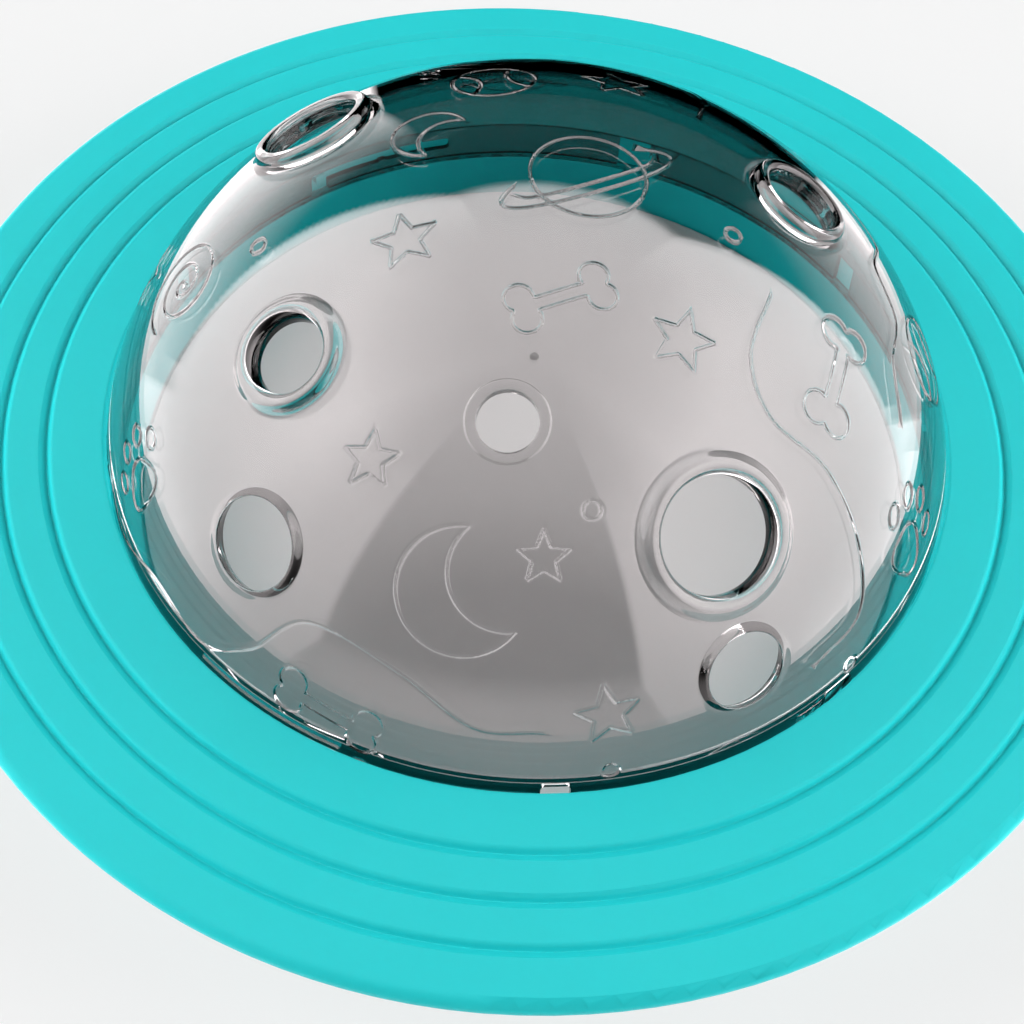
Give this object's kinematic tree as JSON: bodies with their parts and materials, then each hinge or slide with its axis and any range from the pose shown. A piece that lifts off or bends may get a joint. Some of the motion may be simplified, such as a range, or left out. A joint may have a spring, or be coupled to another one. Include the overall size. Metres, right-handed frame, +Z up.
{
  "type": "dog puzzle bowl",
  "caption": "Saucer-shaped slow-feeding bowl with a clear dome full of round treat holes that twists and lifts off a white-floored well",
  "frame": {"origin": "on the ground, under the centre of the bowl", "axes": "+Z up out of the floor through the middle of the dome, -Y towards the viewer of the picture, +X to the viewer's right"},
  "size_m": [0.28, 0.28, 0.0988],
  "materials": {
    "teal_plastic": "satin moulded polypropylene",
    "clear_plastic": "polished clear moulded plastic",
    "clear_silicone": "translucent soft silicone",
    "white_plastic": "white moulded plastic",
    "grey_silicone": "flat grey silicone sheet",
    "screw_steel": "zinc plated steel",
    "foot_rubber": "matt dark rubber"
  },
  "bodies": {
    "saucer": {"saucer": "teal_plastic", "base_plate": "white_plastic", "floor_gasket": "grey_silicone", "screw_1": "screw_steel", "screw_2": "screw_steel", "screw_3": "screw_steel", "screw_4": "screw_steel", "screw_5": "screw_steel", "screw_6": "screw_steel", "foot_1": "foot_rubber", "foot_2": "foot_rubber", "foot_3": "foot_rubber", "foot_4": "foot_rubber", "foot_5": "foot_rubber", "foot_6": "foot_rubber"},
    "seal": {"seal_ring": "clear_silicone"},
    "dome": {"dome": "clear_plastic"}
  },
  "joints": [
    {"name": "dome_twist", "type": "hinge", "parent": "saucer", "child": "seal", "pos_m": [0, 0, 0], "axis": [0, 0, 1], "range_deg": [0, 20]},
    {"name": "dome_lift", "type": "slide", "parent": "seal", "child": "dome", "axis": [0, 0, 1], "range_m": [0, 0.1]}
  ]
}
